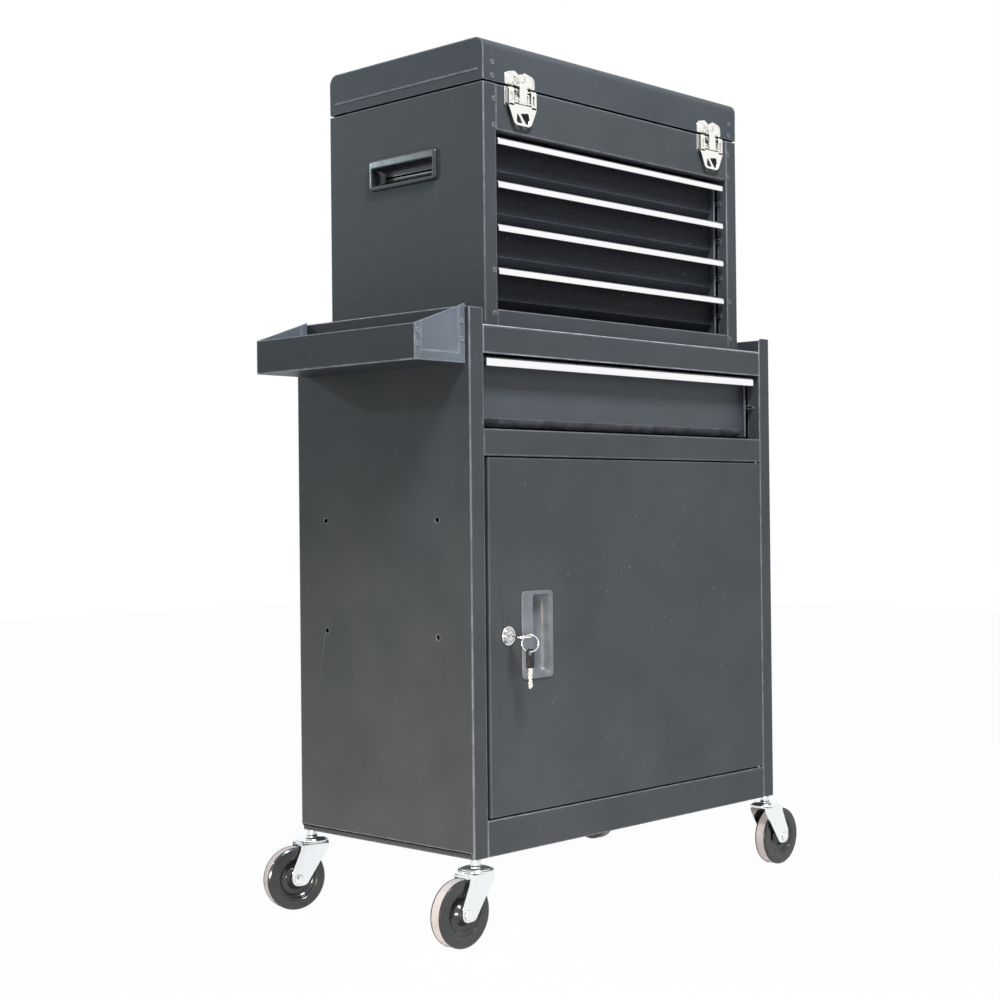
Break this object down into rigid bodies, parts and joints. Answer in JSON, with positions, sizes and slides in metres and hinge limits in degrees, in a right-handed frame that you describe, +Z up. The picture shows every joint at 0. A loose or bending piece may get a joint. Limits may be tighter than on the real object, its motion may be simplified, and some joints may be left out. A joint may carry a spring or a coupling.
{
  "type": "tool chest and rolling cabinet",
  "caption": "Upright steel tool store: drawer chest with lift lid on a rolling cabinet with drawer, door and hang-on side tray, on swivel casters.",
  "frame": {"origin": "centre of the bounding box on the floor", "axes": "+Z up, front faces -Y, the side tray is on the -X side"},
  "size_m": [0.7481, 0.4101, 1.0814],
  "materials": {
    "powder_coated_steel": "satin charcoal powder coat",
    "zinc_plated_steel": "bright zinc plate",
    "nickel_plated_steel": "nickel plate",
    "anodised_aluminium": "clear satin anodised",
    "black_plastic": "moulded gloss",
    "grey_plastic": "moulded satin",
    "caster_wheel": "hard black tyre with a pale tread band",
    "chromed_brass": "polished"
  },
  "bodies": {
    "cabinet": {"base_left_side": "powder_coated_steel", "base_right_side": "powder_coated_steel", "base_back": "powder_coated_steel", "base_floor": "powder_coated_steel", "base_deck": "powder_coated_steel", "base_mid_rail": "powder_coated_steel", "base_bottom_rail": "powder_coated_steel", "base_shelf": "powder_coated_steel", "base_slide_channels": "zinc_plated_steel", "caster_stems": "zinc_plated_steel", "door_pivot_pins": "zinc_plated_steel"},
    "chest": {"chest_left_side": "powder_coated_steel", "chest_right_side": "powder_coated_steel", "chest_back": "powder_coated_steel", "chest_bottom": "powder_coated_steel", "chest_top_rail": "powder_coated_steel", "chest_till_floor": "powder_coated_steel", "chest_slide_channels": "zinc_plated_steel", "chest_side_grips": "black_plastic", "latch_bases": "nickel_plated_steel", "lid_hinge_lower_leaves": "powder_coated_steel"},
    "lid": {"lid_cover": "powder_coated_steel", "lid_ends": "powder_coated_steel", "latch_keepers": "nickel_plated_steel", "lid_hinge_upper_leaves": "powder_coated_steel"},
    "door": {"door_panel": "powder_coated_steel", "door_pull": "grey_plastic", "lock_barrel": "chromed_brass"},
    "lock": {"lock_plug": "chromed_brass", "lock_key": "nickel_plated_steel"},
    "keys": {"key_ring": "nickel_plated_steel"},
    "latch_left": {"latch_lever_left": "nickel_plated_steel"},
    "latch_right": {"latch_lever_right": "nickel_plated_steel"},
    "claw_left": {"latch_claw_left": "nickel_plated_steel"},
    "claw_right": {"latch_claw_right": "nickel_plated_steel"},
    "tray": {"tray_pan": "powder_coated_steel", "tray_ends": "powder_coated_steel"},
    "base_drawer": {"base_drawer_box": "powder_coated_steel", "base_drawer_front": "powder_coated_steel", "base_drawer_handle": "anodised_aluminium"},
    "chest_drawer_1": {"chest_drawer_1_box": "powder_coated_steel", "chest_drawer_1_front": "powder_coated_steel", "chest_drawer_1_handle": "anodised_aluminium"},
    "chest_drawer_2": {"chest_drawer_2_box": "powder_coated_steel", "chest_drawer_2_front": "powder_coated_steel", "chest_drawer_2_handle": "anodised_aluminium"},
    "chest_drawer_3": {"chest_drawer_3_box": "powder_coated_steel", "chest_drawer_3_front": "powder_coated_steel", "chest_drawer_3_handle": "anodised_aluminium"},
    "chest_drawer_4": {"chest_drawer_4_box": "powder_coated_steel", "chest_drawer_4_front": "powder_coated_steel", "chest_drawer_4_handle": "anodised_aluminium"},
    "fork_front_left": {"caster_front_left": "zinc_plated_steel"},
    "roller_front_left": {"wheel_front_left": "caster_wheel"},
    "fork_front_right": {"caster_front_right": "zinc_plated_steel"},
    "roller_front_right": {"wheel_front_right": "caster_wheel"},
    "fork_rear_left": {"caster_rear_left": "zinc_plated_steel"},
    "roller_rear_left": {"wheel_rear_left": "caster_wheel"},
    "fork_rear_right": {"caster_rear_right": "zinc_plated_steel"},
    "roller_rear_right": {"wheel_rear_right": "caster_wheel"}
  },
  "joints": [
    {"name": "chest_lift", "type": "slide", "parent": "cabinet", "child": "chest", "axis": [0, 0, 1], "range_m": [0, 0.06]},
    {"name": "lid_hinge", "type": "hinge", "parent": "chest", "child": "lid", "pos_m": [0.0125, 0.137, 1.027], "axis": [-1, 0, 0], "range_deg": [0, 95]},
    {"name": "door_hinge", "type": "hinge", "parent": "cabinet", "child": "door", "pos_m": [0.287, -0.1605, 0.359], "axis": [0, 0, 1], "range_deg": [0, 105]},
    {"name": "lock_turn", "type": "hinge", "parent": "door", "child": "lock", "pos_m": [-0.2315, -0.165, 0.3596], "axis": [0, 1, 0], "range_deg": [0, 90]},
    {"name": "key_ring_hang", "type": "hinge", "parent": "lock", "child": "keys", "pos_m": [-0.2315, -0.189, 0.3596], "axis": [0, 1, 0], "range_deg": [-90, 0]},
    {"name": "tray_lift", "type": "slide", "parent": "cabinet", "child": "tray", "axis": [0, 0, 1], "range_m": [0, 0.04]},
    {"name": "base_drawer_slide", "type": "slide", "parent": "cabinet", "child": "base_drawer", "axis": [0, -1, 0], "range_m": [0, 0.23]},
    {"name": "chest_drawer_1_slide", "type": "slide", "parent": "chest", "child": "chest_drawer_1", "axis": [0, -1, 0], "range_m": [0, 0.2]},
    {"name": "chest_drawer_2_slide", "type": "slide", "parent": "chest", "child": "chest_drawer_2", "axis": [0, -1, 0], "range_m": [0, 0.2]},
    {"name": "chest_drawer_3_slide", "type": "slide", "parent": "chest", "child": "chest_drawer_3", "axis": [0, -1, 0], "range_m": [0, 0.2]},
    {"name": "chest_drawer_4_slide", "type": "slide", "parent": "chest", "child": "chest_drawer_4", "axis": [0, -1, 0], "range_m": [0, 0.2]},
    {"name": "latch_left_lever", "type": "hinge", "parent": "chest", "child": "latch_left", "pos_m": [-0.1805, -0.1486, 1.024], "axis": [-1, 0, 0], "range_deg": [0, 90]},
    {"name": "latch_left_claw", "type": "hinge", "parent": "latch_left", "child": "claw_left", "pos_m": [-0.1805, -0.1498, 1.009], "axis": [-1, 0, 0], "range_deg": [-90, 0]},
    {"name": "latch_right_lever", "type": "hinge", "parent": "chest", "child": "latch_right", "pos_m": [0.2055, -0.1486, 1.024], "axis": [-1, 0, 0], "range_deg": [0, 90]},
    {"name": "latch_right_claw", "type": "hinge", "parent": "latch_right", "child": "claw_right", "pos_m": [0.2055, -0.1498, 1.009], "axis": [-1, 0, 0], "range_deg": [-90, 0]},
    {"name": "swivel_front_left", "type": "hinge", "parent": "cabinet", "child": "fork_front_left", "pos_m": [-0.2825, -0.157, 0.088], "axis": [0, 0, 1], "continuous": true},
    {"name": "roll_front_left", "type": "hinge", "parent": "fork_front_left", "child": "roller_front_left", "pos_m": [-0.30848, -0.15609, 0.04], "axis": [-0.0349, -0.9994, 0], "continuous": true},
    {"name": "swivel_front_right", "type": "hinge", "parent": "cabinet", "child": "fork_front_right", "pos_m": [0.3075, -0.157, 0.088], "axis": [0, 0, 1], "continuous": true},
    {"name": "roll_front_right", "type": "hinge", "parent": "fork_front_right", "child": "roller_front_right", "pos_m": [0.3335, -0.15745, 0.04], "axis": [0.0175, 0.9998, 0], "continuous": true},
    {"name": "swivel_rear_left", "type": "hinge", "parent": "cabinet", "child": "fork_rear_left", "pos_m": [-0.2825, 0.139, 0.088], "axis": [0, 0, 1], "continuous": true},
    {"name": "roll_rear_left", "type": "hinge", "parent": "fork_rear_left", "child": "roller_rear_left", "pos_m": [-0.30761, 0.14573, 0.04], "axis": [-0.2588, -0.9659, 0], "continuous": true},
    {"name": "swivel_rear_right", "type": "hinge", "parent": "cabinet", "child": "fork_rear_right", "pos_m": [0.3075, 0.139, 0.088], "axis": [0, 0, 1], "continuous": true},
    {"name": "roll_rear_right", "type": "hinge", "parent": "fork_rear_right", "child": "roller_rear_right", "pos_m": [0.3075, 0.165, 0.04], "axis": [-1, 0, 0], "continuous": true}
  ],
  "couplings": [
    {"joint": "key_ring_hang", "follows": "lock_turn", "ratio": -1},
    {"joint": "latch_left_claw", "follows": "latch_left_lever", "ratio": -1},
    {"joint": "latch_right_claw", "follows": "latch_right_lever", "ratio": -1}
  ]
}
